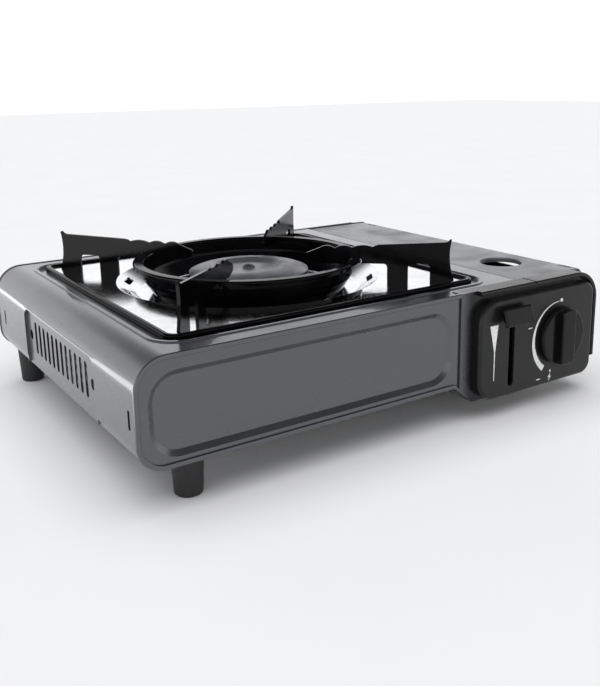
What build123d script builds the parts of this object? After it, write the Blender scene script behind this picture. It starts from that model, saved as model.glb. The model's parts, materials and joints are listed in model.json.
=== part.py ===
from build123d import *
import math
import os

# Portable butane stove. Millimetres, +Z up, the front (controls) faces -Y.
# The origin is on the ground, under the middle of the stove.

# ---------------------------------------------------------------- driving dimensions
width = 343.0                 # overall, left to right
front_y = -125.0              # face of the pressed front panel
back_y = 141.0                # face of the pressed back panel
rim_top_z = 86.8              # top of the rolled rims of the front and back panels
floor_left_z = 25.0           # underside of the burner side
floor_right_z = 13.0          # underside of the cartridge side
step_x = (42.5, 56.5)         # where the floor steps down between the two
sheet = 1.0                   # sheet steel
rim_inset = 0.5               # the wrapped shell sits inside the panel rims by this much
end_depth = 2.4               # depth of each pressed end panel
side_top_radius = 19.0
side_bottom_radius = 16.0
right_top_radius = 6.0
right_bottom_radius = 8.0
step_radius = 5.0

burner_x = -30.5              # burner, tray, ring and fins are centred here
burner_y = 8.5

tray_half = 111.0             # half the side of the square tray
tray_top_z = 86.4
tray_radius = 8.0
tray_rim_width = 3.8
tray_rim_top_z = 88.2
dish_radius = 92.0
dish_floor_z = 77.2
dish_hole_radius = 52.0
ledge_z = 84.7                # recessed ledge of the deck, under the tray rim
ledge_half = 116.5
well_half = 99.0

ring_flange_radius = 79.3
ring_wall_radius = 72.5
ring_top_z = 99.4

fin_thickness = 2.0
fin_horn_radius = 140.2       # distance of a horn from the burner's axis
fin_horn_z = 114.0

cover_x = (104.7, 170.8)
cover_y = (-115.5, 137.0)
cover_top_z = 85.75
hinge_x = 169.0
hinge_z = 78.4
hinge_block_y = (-106.0, 120.0)
hinge_block_half = 5.0
hinge_pin_radius = 1.5

can_x = 137.0                 # axis of the gas cartridge
can_z = 50.2
can_radius = 33.2

surround_x = 46.0             # the dark control surround starts here
surround_plate = 4.0          # thickness of its front plate
surround_depth = 8.5          # how far back its edge flange reaches
surround_lip_y = -129.5       # its raised lip stands this far forward
fascia_x = (56.5, 165.5)
fascia_z = (13.4, 80.0)
fascia_front_y = -131.8

knob_x = 130.5
knob_z = 47.0
knob_radius = 20.0
knob_front_y = -141.0

lever_x = 85.0
lever_pivot_y = -60.0
lever_pivot_z = 46.0
lever_half_angle = 16.6       # the lever stands this far above level at rest, in degrees
lever_radius = 74.0
crank_radius = 14.0
crank_pin_radius = 1.7
pivot_pin_radius = 2.0
running_gap = 0.06            # radial clearance of the turning fits

tube_z = 63.0                 # axis of the mixing tube
pipe_z = 70.0                 # height of the gas pipe at the valve
pipe_radius = 2.4

foot_left = [(-136.5, -107.0), (-153.5, 129.2)]
foot_right = [(128.5, -90.0), (128.5, 128.5)]

half_width = width / 2
deck_z = rim_top_z - rim_inset
shell_y = (front_y + end_depth, back_y - end_depth)
wall_x = half_width - rim_inset          # outer face of the side walls
pan_top_right_z = floor_right_z + rim_inset + sheet
pan_top_left_z = floor_left_z + rim_inset + sheet


# ---------------------------------------------------------------- helpers
def facing_front(y):
    """Plane at depth y that faces the front: sketch x is X, sketch y is Z."""
    return Plane.XZ.offset(-y)


def block(x, y, z, mode=Mode.ADD):
    """Rectangular block in the active part, given its spans along X, Y and Z."""
    with Locations(((x[0] + x[1]) / 2, (y[0] + y[1]) / 2, (z[0] + z[1]) / 2)):
        Box(x[1] - x[0], y[1] - y[0], z[1] - z[0], mode=mode)


def rod(start, end, radius, mode=Mode.ADD):
    """Straight round rod in the active part, from one point to another."""
    axis = Vector(*end) - Vector(*start)
    place = Plane(origin=start, z_dir=axis.normalized())
    with Locations(place.location):
        Cylinder(
            radius, axis.length, align=(Align.CENTER, Align.CENTER, Align.MIN), mode=mode
        )


def body_outline(inset, top_right_radius):
    """Front silhouette of the stove body, set in from the panel rims."""
    corners = [
        (-half_width + inset, floor_left_z + inset),
        (-half_width + inset, rim_top_z - inset),
        (half_width - inset, rim_top_z - inset),
        (half_width - inset, floor_right_z + inset),
        (step_x[1], floor_right_z + inset),
        (step_x[0], floor_left_z + inset),
    ]
    radii = [
        side_bottom_radius - inset,
        side_top_radius - inset,
        top_right_radius - inset,
        right_bottom_radius - inset,
        step_radius,
        step_radius,
    ]
    with BuildSketch() as outline:
        with BuildLine():
            FilletPolyline(*corners, radius=radii, close=True)
        make_face()
    return outline.sketch


def finish(piece, name):
    """Label a finished piece and write it."""
    piece.part.label = name
    export_step(piece.part, f"parts/{name}.step")


os.makedirs("parts", exist_ok=True)

rim_outline = body_outline(0.0, 20.0)
rim_inner_outline = body_outline(3.0, 20.0)
flange_inner_outline = body_outline(rim_inset + sheet, 20.0)
shell_outline = body_outline(rim_inset, right_top_radius)
shell_inner_outline = body_outline(rim_inset + sheet, right_top_radius)

# ---------------------------------------------------------------- body shell
pan_span_x = (-162.5, 161.0)             # the floor pan closes the shell between these
curl_top_z = 45.0
cover_opening_x = 103.2
cover_opening_y = (front_y + surround_depth, 138.4)
right_wall_top_z = 75.8

vent_recess_y = (-66.0, 68.5)
vent_recess_top_z = 71.7
vent_recess_depth = 2.0
vent_recess_floor = 0.7                  # sheet left in the floor of the recess
vent_slot_count = 12
vent_slot_pitch = 8.9
vent_slot_size = (4.4, 22.0)
vent_hole_radius = 3.4
vent_z = 54.5
vent_hole_y = (-58.6, 61.1)
vent_box_bottom_z = 34.0

with BuildPart() as body_shell:
    with BuildSketch(facing_front(shell_y[1])):
        add(shell_outline)
        add(shell_inner_outline, mode=Mode.SUBTRACT)
    extrude(amount=shell_y[1] - shell_y[0])
    block(pan_span_x, (-200, 200), (0, curl_top_z), mode=Mode.SUBTRACT)
    # room for the black control surround at the front right
    block(
        (surround_x, 200),
        (-200, front_y + surround_depth),
        (0, 200),
        mode=Mode.SUBTRACT,
    )
    # recessed ledge round the tray, and the well under it
    with BuildSketch(Plane.XY.offset(ledge_z - sheet)):
        with Locations((burner_x, burner_y)):
            RectangleRounded(2 * (ledge_half + sheet), 2 * (ledge_half + sheet), 17.0)
    extrude(amount=deck_z - ledge_z + sheet)
    with BuildSketch(Plane.XY.offset(ledge_z)):
        with Locations((burner_x, burner_y)):
            RectangleRounded(2 * ledge_half, 2 * ledge_half, 16.0)
    extrude(amount=10.0, mode=Mode.SUBTRACT)
    with BuildSketch(Plane.XY.offset(ledge_z - 5.0)):
        with Locations((burner_x, burner_y)):
            RectangleRounded(2 * well_half, 2 * well_half, 20.0)
    extrude(amount=20.0, mode=Mode.SUBTRACT)
    # bead pressed up round the ledge
    with BuildSketch(Plane.XY.offset(deck_z - 0.2)):
        with Locations((burner_x, burner_y)):
            RectangleRounded(2 * ledge_half + 7.0, 2 * ledge_half + 7.0, 19.5)
            RectangleRounded(
                2 * ledge_half + 1.2, 2 * ledge_half + 1.2, 16.6, mode=Mode.SUBTRACT
            )
    extrude(amount=0.9)
    fillet(body_shell.edges().group_by(Axis.Z)[-1], 0.6)
    # opening over the cartridge bay, which also takes the top of the right wall
    block(
        (cover_opening_x, 200),
        cover_opening_y,
        (right_wall_top_z, 200),
        mode=Mode.SUBTRACT,
    )
    # recessed vent panel in the left wall: its box is added inside, then pressed in from outside
    vent_middle_y = sum(vent_recess_y) / 2
    vent_width = vent_recess_y[1] - vent_recess_y[0]
    with BuildSketch(Plane.YZ.offset(-wall_x + sheet / 2)):
        with Locations((vent_middle_y, (vent_recess_top_z + sheet + vent_box_bottom_z) / 2)):
            Rectangle(vent_width + 2 * sheet, vent_recess_top_z + sheet - vent_box_bottom_z)
    extrude(amount=vent_recess_depth + vent_recess_floor - sheet / 2)
    with BuildSketch(Plane.YZ.offset(-wall_x + vent_recess_depth)):
        with Locations((vent_middle_y, vent_recess_top_z)):
            RectangleRounded(
                vent_width,
                2 * (vent_recess_top_z - 10.0),
                7.0,
                align=(Align.CENTER, Align.MAX),
            )
    extrude(amount=-20.0, mode=Mode.SUBTRACT)
    with BuildSketch(Plane.YZ.offset(-wall_x - 1.0)):
        with Locations((vent_middle_y, vent_z)):
            with GridLocations(vent_slot_pitch, 0, vent_slot_count, 1):
                SlotOverall(vent_slot_size[1], vent_slot_size[0], rotation=90)
        with Locations((vent_hole_y[0], vent_z), (vent_hole_y[1], vent_z)):
            Circle(vent_hole_radius)
        with Locations((-116.0, 53.0), (122.0, 53.0)):
            SlotOverall(11.0, 2.8, rotation=90)
    extrude(amount=8.0, mode=Mode.SUBTRACT)
finish(body_shell, "body_shell")

# ---------------------------------------------------------------- floor pan
floor_slot_pitch = 12.0
with BuildPart() as base_pan:
    with BuildSketch(facing_front(shell_y[1])):
        add(shell_outline)
        add(shell_inner_outline, mode=Mode.SUBTRACT)
    extrude(amount=shell_y[1] - shell_y[0])
    block(pan_span_x, (-200, 200), (0, curl_top_z), mode=Mode.INTERSECT)
    block(
        (surround_x, 200),
        (-200, front_y + surround_depth),
        (0, 200),
        mode=Mode.SUBTRACT,
    )
    with BuildSketch(Plane.XY):
        with Locations((burner_x - 50.0, burner_y), (burner_x + 40.0, burner_y)):
            with GridLocations(0, floor_slot_pitch, 1, 9):
                SlotOverall(34.0, 4.0)
        with Locations(*foot_left, *foot_right):
            Circle(1.6)
    extrude(amount=60.0, mode=Mode.SUBTRACT)
finish(base_pan, "base_pan")

# ---------------------------------------------------------------- end panels
panel_plate_inset = 1.2                  # the plate lies this far behind the rim
field_corner_radius = 17.0


def pressed_panel(face_y, inward, field_x, field_z, field_depth, draft):
    """Pressed end panel: a rolled rim, a plate set back in it and an embossed field."""
    plate_y = face_y + inward * panel_plate_inset
    with BuildSketch(facing_front(face_y)) as rim:
        add(rim_outline)
        add(rim_inner_outline, mode=Mode.SUBTRACT)
    extrude(rim.sketch, amount=-inward * end_depth)
    with BuildSketch(facing_front(plate_y)) as plate:
        add(rim_inner_outline)
    extrude(plate.sketch, amount=-inward * sheet)
    middle = (sum(field_x) / 2, sum(field_z) / 2)
    field_width = field_x[1] - field_x[0]
    field_height = field_z[1] - field_z[0]
    with BuildSketch(facing_front(plate_y)) as back:
        with Locations(middle):
            RectangleRounded(
                field_width + 1.2, field_height + 1.2, field_corner_radius + 0.6
            )
    extrude(back.sketch, amount=-inward * (field_depth + sheet))
    with BuildSketch(facing_front(plate_y)) as field:
        with Locations(middle):
            RectangleRounded(field_width, field_height, field_corner_radius)
    extrude(field.sketch, amount=-inward * field_depth, taper=draft, mode=Mode.SUBTRACT)


with BuildPart() as front_panel:
    pressed_panel(front_y, 1, (-163.5, 40.5), (30.3, 77.5), 2.2, 55)
    block((surround_x, 200), (-200, 200), (0, 200), mode=Mode.SUBTRACT)
    fillet(
        front_panel.edges().filter_by_position(Axis.Y, front_y - 0.01, front_y + 0.01)
        .filter_by(lambda edge: edge.center().X < surround_x - 0.1),
        0.8,
    )
finish(front_panel, "front_panel")

with BuildPart() as back_panel:
    pressed_panel(back_y, -1, (-163.5, 162.0), (30.3, 77.5), 1.2, 45)
    with BuildSketch(facing_front(back_y + 1.0)):
        with Locations((-105.0, 54.0), (-30.5, 54.0), (44.0, 54.0)):
            with GridLocations(0, 8.0, 1, 4):
                SlotOverall(46.0, 3.0)
    extrude(amount=10.0, mode=Mode.SUBTRACT)
    fillet(back_panel.faces().sort_by(Axis.Y)[-1].outer_wire().edges(), 0.8)
finish(back_panel, "back_panel")

# ---------------------------------------------------------------- control surround and fascia
surround_window_x = (62.0, 160.0)
surround_window_z = (18.5, 76.0)
lip_start_x = 60.0
lip_bottom_z = 24.0
seam_x = 108.5
with BuildPart() as control_surround:
    with BuildSketch(facing_front(front_y + surround_plate)):
        add(rim_outline)
        with Locations(
            ((surround_window_x[0] + surround_window_x[1]) / 2, sum(surround_window_z) / 2)
        ):
            RectangleRounded(
                surround_window_x[1] - surround_window_x[0],
                surround_window_z[1] - surround_window_z[0],
                8.0,
                mode=Mode.SUBTRACT,
            )
    extrude(amount=surround_plate)
    # flange that reaches back over the front edges of the shell's deck, wall and floor
    with BuildSketch(facing_front(front_y + surround_depth)):
        add(rim_outline)
        add(flange_inner_outline, mode=Mode.SUBTRACT)
    extrude(amount=surround_depth)
    # raised lip along the top and the right edge
    with BuildSketch(facing_front(front_y)):
        add(rim_outline)
        add(rim_inner_outline, mode=Mode.SUBTRACT)
        Rectangle(400, lip_bottom_z, align=(Align.CENTER, Align.MIN), mode=Mode.SUBTRACT)
        Rectangle(
            2 * lip_start_x, 400, align=(Align.CENTER, Align.CENTER), mode=Mode.SUBTRACT
        )
    extrude(amount=front_y - surround_lip_y)
    block((-200, surround_x), (-200, 200), (0, 200), mode=Mode.SUBTRACT)
    fillet(
        control_surround.edges()
        .filter_by_position(Axis.Y, surround_lip_y - 0.01, surround_lip_y + 0.01),
        1.2,
    )
    block((seam_x - 0.6, seam_x + 0.6), (-200, -100), (rim_top_z - 1.2, 100), mode=Mode.SUBTRACT)
finish(control_surround, "control_surround")

slot_z = (20.0, 72.0)
slot_width = 5.0
fascia_wall = 2.0
with BuildPart() as control_fascia:
    with BuildSketch(facing_front(front_y)):
        with BuildLine():
            FilletPolyline(
                (fascia_x[0], fascia_z[0]),
                (fascia_x[0], fascia_z[1]),
                (fascia_x[1], fascia_z[1]),
                (fascia_x[1], fascia_z[0]),
                radius=[15.0, 15.0, 9.0, 9.0],
                close=True,
            )
        make_face()
    extrude(amount=front_y - fascia_front_y)
    fillet(control_fascia.faces().sort_by(Axis.Y)[0].outer_wire().edges(), 2.4)
    with BuildSketch(facing_front(front_y)):
        with BuildLine():
            FilletPolyline(
                (fascia_x[0] + fascia_wall, fascia_z[0] + fascia_wall),
                (fascia_x[0] + fascia_wall, fascia_z[1] - fascia_wall),
                (fascia_x[1] - fascia_wall, fascia_z[1] - fascia_wall),
                (fascia_x[1] - fascia_wall, fascia_z[0] + fascia_wall),
                radius=[13.0, 13.0, 7.0, 7.0],
                close=True,
            )
        make_face()
    extrude(amount=front_y - fascia_front_y - fascia_wall, mode=Mode.SUBTRACT)
    with BuildSketch(facing_front(front_y)):
        with Locations((lever_x, sum(slot_z) / 2)):
            SlotOverall(slot_z[1] - slot_z[0], slot_width, rotation=90)
        with Locations((knob_x, knob_z)):
            Circle(5.0)
    extrude(amount=20.0, mode=Mode.SUBTRACT)
finish(control_fascia, "control_fascia")

# ---------------------------------------------------------------- bay partition
partition_x = (96.0, 97.0)
partition_y = (-118.0, 136.0)
partition_foot = 8.0
with BuildPart() as bay_partition:
    block(partition_x, partition_y, (17.6, deck_z - sheet))
    for foot_y in (partition_y[0], partition_y[1] - partition_foot):
        block(partition_x, (foot_y, foot_y + partition_foot), (pan_top_right_z, 18.0))
    with BuildSketch(Plane.YZ.offset(partition_x[0] - 1.0)):
        with Locations((-98.0, pipe_z)):
            Circle(4.5)
        with Locations((-98.0, 27.0)):
            Circle(3.0)
        with Locations((40.0, 70.0)):
            with GridLocations(22.0, 0, 7, 1):
                SlotOverall(14.0, 3.0)
    extrude(amount=5.0, mode=Mode.SUBTRACT)
finish(bay_partition, "bay_partition")

# ---------------------------------------------------------------- feet and their screws


def foot(x, y, top_z):
    """Tapered moulded foot with a counterbored screw hole."""
    with BuildSketch(Plane.XZ) as profile:
        with BuildLine():
            Polyline(
                (0, 0), (8.0, 0), (9.2, top_z - 1.0), (9.2, top_z), (0, top_z), close=True
            )
        make_face()
        fillet(profile.vertices().group_by(Axis.Y)[0].sort_by(Axis.X)[-1], 1.4)
    turned = revolve(profile.sketch, axis=Axis.Z, mode=Mode.PRIVATE)
    with Locations((x, y)):
        add(turned)
    with Locations(Plane.XY.offset(top_z).location * Location((x, y, 0))):
        Cylinder(
            1.6, top_z, align=(Align.CENTER, Align.CENTER, Align.MAX), mode=Mode.SUBTRACT
        )
    with Locations((x, y, 0)):
        Cylinder(
            4.0,
            top_z - 8.0,
            align=(Align.CENTER, Align.CENTER, Align.MIN),
            mode=Mode.SUBTRACT,
        )


feet = {
    "foot_front_left": (*foot_left[0], floor_left_z + rim_inset),
    "foot_back_left": (*foot_left[1], floor_left_z + rim_inset),
    "foot_front_right": (*foot_right[0], floor_right_z + rim_inset),
    "foot_back_right": (*foot_right[1], floor_right_z + rim_inset),
}
for foot_name, (foot_x, foot_y, foot_top) in feet.items():
    with BuildPart() as foot_piece:
        foot(foot_x, foot_y, foot_top)
    finish(foot_piece, foot_name)

with BuildPart() as foot_screws:
    for foot_x, foot_y, foot_top in feet.values():
        rod((foot_x, foot_y, foot_top - 10.2), (foot_x, foot_y, foot_top + 3.0), 1.55)
        rod((foot_x, foot_y, foot_top - 10.4), (foot_x, foot_y, foot_top - 8.05), 3.0)
finish(foot_screws, "foot_screws")

with BuildPart() as foot_nuts:
    for foot_x, foot_y, foot_top in feet.values():
        with BuildSketch(Plane.XY.offset(foot_top + sheet)):
            with Locations((foot_x, foot_y)):
                RegularPolygon(3.2, 6)
                Circle(1.56, mode=Mode.SUBTRACT)
        extrude(amount=2.2)
finish(foot_nuts, "foot_nuts")

# ---------------------------------------------------------------- tray, rim, ring and fins
burner_axis = Axis((burner_x, burner_y, 0), (0, 0, 1))
burner_plane = Plane(origin=(burner_x, burner_y, 0), x_dir=(1, 0, 0), z_dir=(0, -1, 0))
with BuildPart() as drip_tray:
    plate_half = tray_half - tray_rim_width
    with BuildSketch(Plane.XY.offset(tray_top_z - 1.2)):
        with Locations((burner_x, burner_y)):
            RectangleRounded(2 * plate_half, 2 * plate_half, tray_radius - 3.0)
            Circle(dish_radius, mode=Mode.SUBTRACT)
    extrude(amount=1.2)
    with BuildSketch(burner_plane) as dish:
        with BuildLine():
            dish_top = FilletPolyline(
                (dish_radius + 1.5, tray_top_z),
                (dish_radius - 1.5, tray_top_z),
                (77.0, dish_floor_z),
                (55.5, dish_floor_z - 0.8),
                (dish_hole_radius, dish_floor_z + 2.0),
                radius=[3.0, 9.0, 1.6],
            )
            Line(dish_top @ 1, (dish_hole_radius, dish_floor_z + 0.8))
            dish_bottom = FilletPolyline(
                (dish_hole_radius, dish_floor_z + 0.8),
                (55.5, dish_floor_z - 2.0),
                (77.0, dish_floor_z - 1.2),
                (dish_radius - 1.5, tray_top_z - 1.2),
                (dish_radius + 1.5, tray_top_z - 1.2),
                radius=[1.6, 9.0, 3.0],
            )
            Line(dish_bottom @ 1, dish_top @ 0)
        make_face()
    revolve(dish.sketch, axis=burner_axis)
    with BuildSketch(Plane.XY.offset(60.0)):
        with Locations((burner_x, burner_y)):
            with PolarLocations(84.5, 16, start_angle=11.25):
                SlotOverall(15.0, 4.0, rotation=90)
    extrude(amount=40.0, mode=Mode.SUBTRACT)
finish(drip_tray, "drip_tray")

with BuildPart() as tray_rim:
    with BuildSketch(Plane.XY.offset(ledge_z + 0.3)):
        with Locations((burner_x, burner_y)):
            RectangleRounded(2 * tray_half, 2 * tray_half, tray_radius)
            RectangleRounded(
                2 * plate_half, 2 * plate_half, tray_radius - 3.0, mode=Mode.SUBTRACT
            )
    extrude(amount=tray_rim_top_z - ledge_z - 0.3)
    fillet(tray_rim.edges().group_by(Axis.Z)[-1], 1.5)
finish(tray_rim, "tray_rim")

ring_floor_radius = 64.0
ring_sheet = 1.3
with BuildPart() as wind_ring:
    with BuildSketch(burner_plane) as wall:
        with BuildLine():
            outer = FilletPolyline(
                (ring_flange_radius, ring_top_z - 3.0),
                (ring_flange_radius, ring_top_z),
                (ring_wall_radius - 0.6, ring_top_z),
                (ring_wall_radius - ring_sheet, 88.0),
                (ring_floor_radius, dish_floor_z + 0.4),
                radius=[1.3, 1.6, 9.0],
            )
            Line(outer @ 1, (ring_floor_radius + 2.4, dish_floor_z + 0.4))
            inner = FilletPolyline(
                (ring_floor_radius + 2.4, dish_floor_z + 0.4),
                (ring_wall_radius, 87.4),
                (ring_wall_radius + 0.6, ring_top_z - ring_sheet),
                (ring_flange_radius - 1.2, ring_top_z - ring_sheet),
                (ring_flange_radius - 1.2, ring_top_z - 3.0),
                radius=[9.5, 1.0, 0.3],
            )
            Line(inner @ 1, outer @ 0)
        make_face()
    revolve(wall.sketch, axis=burner_axis)
finish(wind_ring, "wind_ring")

# Fin outline as (distance from the burner's axis, height).
leg_bottom_z = tray_top_z
window_top_z = 97.0
fin_names = {
    "fin_front_right": (1, -1),
    "fin_back_right": (1, 1),
    "fin_back_left": (-1, 1),
    "fin_front_left": (-1, -1),
}


def pan_fin(direction):
    """One upright pan-support fin, cut from plate and standing on the tray."""
    place = Plane(
        origin=(burner_x, burner_y, 0),
        x_dir=(direction[0], direction[1], 0),
        z_dir=Vector(direction[0], direction[1], 0).cross(Vector(0, 0, 1)),
    )
    with BuildSketch(place) as outline:
        with BuildLine():
            ThreePointArc((142.0, leg_bottom_z), (139.2, 99.0), (fin_horn_radius, fin_horn_z - 0.4))
            ThreePointArc(
                (fin_horn_radius, fin_horn_z - 0.4),
                (139.3, fin_horn_z),
                (138.6, fin_horn_z - 0.6),
            )
            ThreePointArc((138.6, fin_horn_z - 0.6), (137.6, 112.5), (136.0, 112.0))
            Line((136.0, 112.0), (92.0, 109.5))
            ThreePointArc((92.0, 109.5), (89.8, 109.0), (87.3, 107.7))
            ThreePointArc((87.3, 107.7), (80.2, 108.8), (73.0, 107.0))
            ThreePointArc((73.0, 107.0), (67.2, 108.4), (61.3, 106.3))
            ThreePointArc((61.3, 106.3), (56.0, 108.1), (51.0, 106.6))
            Line((51.0, 106.6), (41.2, 102.6))
            ThreePointArc((41.2, 102.6), (40.3, 100.5), (41.8, 97.6))
            Polyline(
                (41.8, 97.6),
                (48.0, 95.6),
                (ring_wall_radius - 3.0, 95.6),
                (ring_wall_radius - 3.0, ring_top_z),
                (ring_flange_radius + 0.6, ring_top_z),
                (ring_flange_radius + 0.6, 96.3),
                (97.2, 96.3),
                (97.2, leg_bottom_z),
                (111.3, leg_bottom_z),
                (111.3, window_top_z),
                (126.0, window_top_z),
                (126.0, leg_bottom_z),
                (142.0, leg_bottom_z),
            )
        make_face()
        window_corners = outline.vertices().filter_by(
            lambda corner: 97.0 < corner.X < 127.0 and 96.0 < corner.Y < 98.0
        )
        fillet(window_corners, 2.4)
    extrude(outline.sketch, amount=fin_thickness / 2, both=True)


for fin_name, fin_direction in fin_names.items():
    with BuildPart() as fin_piece:
        pan_fin(fin_direction)
    finish(fin_piece, fin_name)

# ---------------------------------------------------------------- burner
tube_direction = Vector(82.5, -52.2, 0).normalized()
tube_length = 98.0
tube_radius = 8.2
tube_bore = 6.6
tube_start = Vector(burner_x, burner_y, tube_z)
tube_end = tube_start + tube_direction * tube_length

with BuildPart() as burner_body:
    with BuildSketch(burner_plane) as bowl:
        with BuildLine():
            Polyline(
                (0, 54.2), (20.0, 54.2), (22.0, 60.0), (38.0, 76.0), (40.0, 82.0), (0, 82.0),
                close=True,
            )
        make_face()
    revolve(bowl.sketch, axis=burner_axis)
    rod(tuple(tube_start), tuple(tube_end), tube_radius)
    with BuildSketch(burner_plane) as hollow:
        with BuildLine():
            Polyline((0, 58.0), (18.0, 58.0), (34.0, 75.0), (36.0, 82.1), (0, 82.1), close=True)
        make_face()
    revolve(hollow.sketch, axis=burner_axis, mode=Mode.SUBTRACT)
    rod(tuple(tube_start), tuple(tube_end + tube_direction * 2), tube_bore, mode=Mode.SUBTRACT)
    for side in (-1, 1):
        side_vector = tube_direction.cross(Vector(0, 0, 1)) * side
        window = tube_end - tube_direction * 14.0
        rod(tuple(window), tuple(window + side_vector * 12.0), 3.2, mode=Mode.SUBTRACT)
finish(burner_body, "burner_body")

port_count = 36
port_bottom_z = 85.4
port_ring_top_z = 88.6
with BuildPart() as burner_ring:
    with BuildSketch(Plane.XY.offset(82.0)):
        with Locations((burner_x, burner_y)):
            Circle(41.0)
            Circle(34.0, mode=Mode.SUBTRACT)
    extrude(amount=port_ring_top_z - 82.0)
    with BuildSketch(Plane.XY.offset(port_bottom_z)):
        with Locations((burner_x, burner_y)):
            with PolarLocations(37.5, port_count, start_angle=180.0 / port_count):
                Rectangle(12.0, 1.8)
    extrude(amount=port_ring_top_z - port_bottom_z, mode=Mode.SUBTRACT)
finish(burner_ring, "burner_ring")

with BuildPart() as burner_cap:
    with BuildSketch(burner_plane) as cap_section:
        with BuildLine():
            Polyline((0, 88.6), (41.5, 88.6), (41.5, 90.0))
            ThreePointArc((41.5, 90.0), (34.0, 92.6), (24.0, 93.4))
            Polyline((24.0, 93.4), (20.0, 91.0), (0, 91.0), (0, 88.6))
        make_face()
    revolve(cap_section.sketch, axis=burner_axis)
finish(burner_cap, "burner_cap")

with BuildPart() as burner_cap_screw:
    with BuildSketch(burner_plane) as screw_section:
        with BuildLine():
            Polyline((0, 91.0), (4.5, 91.0), (4.5, 92.0))
            ThreePointArc((4.5, 92.0), (2.6, 93.2), (0, 93.6))
            Line((0, 93.6), (0, 91.0))
        make_face()
    revolve(screw_section.sketch, axis=burner_axis)
    block(
        (burner_x - 3.4, burner_x + 3.4), (burner_y - 0.5, burner_y + 0.5), (92.6, 95.0),
        mode=Mode.SUBTRACT,
    )
finish(burner_cap_screw, "burner_cap_screw")

bracket_half = 30.0
with BuildPart() as burner_bracket:
    with BuildSketch(facing_front(burner_y + 11.0)) as strip:
        with BuildLine():
            Polyline(
                (burner_x - bracket_half - 10.0, pan_top_left_z),
                (burner_x - bracket_half + 1.2, pan_top_left_z),
                (burner_x - bracket_half + 1.2, 53.0),
                (burner_x + bracket_half - 1.2, 53.0),
                (burner_x + bracket_half - 1.2, pan_top_left_z),
                (burner_x + bracket_half + 10.0, pan_top_left_z),
                (burner_x + bracket_half + 10.0, pan_top_left_z + 1.2),
                (burner_x + bracket_half, pan_top_left_z + 1.2),
                (burner_x + bracket_half, 54.2),
                (burner_x - bracket_half, 54.2),
                (burner_x - bracket_half, pan_top_left_z + 1.2),
                (burner_x - bracket_half - 10.0, pan_top_left_z + 1.2),
                close=True,
            )
        make_face()
    extrude(amount=22.0)
finish(burner_bracket, "burner_bracket")

with BuildPart() as bracket_screws:
    for screw_x in (burner_x - bracket_half - 6.0, burner_x + bracket_half + 6.0):
        rod((screw_x, burner_y, pan_top_left_z + 1.2), (screw_x, burner_y, pan_top_left_z + 3.2), 3.2)
finish(bracket_screws, "bracket_screws")

shutter_end = tube_end - tube_direction * 20.0
with BuildPart() as air_shutter:
    rod(tuple(shutter_end), tuple(shutter_end + tube_direction * 13.0), tube_radius + 0.9)
    rod(
        tuple(shutter_end - tube_direction),
        tuple(shutter_end + tube_direction * 14.0),
        tube_radius,
        mode=Mode.SUBTRACT,
    )
    shutter_window = shutter_end + tube_direction * 6.0
    for side in (-1, 1):
        side_vector = tube_direction.cross(Vector(0, 0, 1)) * side
        rod(
            tuple(shutter_window),
            tuple(shutter_window + side_vector * 12.0),
            2.6,
            mode=Mode.SUBTRACT,
        )
finish(air_shutter, "air_shutter")

nozzle_end = tube_end + tube_direction * 9.0
with BuildPart() as gas_nozzle:
    rod(tuple(tube_end - tube_direction * 6.0), tuple(nozzle_end), 3.4)
    rod(tuple(tube_end), tuple(tube_end + tube_direction * 3.0), tube_radius)
    rod(tuple(tube_end - tube_direction * 7.0), tuple(tube_end + tube_direction * 2.0), 0.9,
        mode=Mode.SUBTRACT)
finish(gas_nozzle, "gas_nozzle")

valve_left_x = 108.0
pipe_points = [
    tuple(nozzle_end),
    tuple(nozzle_end + tube_direction * 9.0),
    (74.0, -82.0, 67.0),
    (79.0, -98.0, pipe_z),
    (valve_left_x, -98.0, pipe_z),
]
with BuildPart() as gas_pipe:
    with BuildLine() as pipe_path:
        FilletPolyline(*pipe_points, radius=[4.0, 12.0, 8.0])
    with BuildSketch(Plane(origin=pipe_points[0], z_dir=tube_direction)):
        Circle(pipe_radius)
    sweep(path=pipe_path.wires()[0])
finish(gas_pipe, "gas_pipe")

# ---------------------------------------------------------------- regulator and valve
valve_x = (valve_left_x, 152.0)
valve_y = (-112.0, -86.0)
valve_z = (32.5, 74.0)
spindle_radius = 3.0
with BuildPart() as valve_body:
    block(valve_x, valve_y, valve_z)
    fillet(valve_body.edges().filter_by(Axis.Y), 4.0)
    rod((can_x, valve_y[1], can_z), (can_x, valve_y[1] + 6.0, can_z), 5.0)
    rod((knob_x, valve_y[0] - 2.0, knob_z), (knob_x, valve_y[0], knob_z), 7.0)
    rod(
        (knob_x, valve_y[0] - 3.0, knob_z),
        (knob_x, valve_y[0] + 14.0, knob_z),
        spindle_radius + running_gap,
        mode=Mode.SUBTRACT,
    )
    rod(
        (can_x, valve_y[1] - 6.0, can_z),
        (can_x, valve_y[1] + 7.0, can_z),
        1.5,
        mode=Mode.SUBTRACT,
    )
finish(valve_body, "valve_body")

cap_centre = (-99.0, 52.0)
with BuildPart() as regulator_diaphragm:
    rod((valve_x[1], *cap_centre), (valve_x[1] + 0.8, *cap_centre), 13.0)
finish(regulator_diaphragm, "regulator_diaphragm")

with BuildPart() as regulator_cap:
    rod((valve_x[1] + 0.8, *cap_centre), (valve_x[1] + 9.0, *cap_centre), 13.0)
    fillet(regulator_cap.edges().sort_by(Axis.X)[-1], 3.0)
    rod(
        (valve_x[1] + 0.7, *cap_centre),
        (valve_x[1] + 7.6, *cap_centre),
        9.0,
        mode=Mode.SUBTRACT,
    )
finish(regulator_cap, "regulator_cap")

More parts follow.
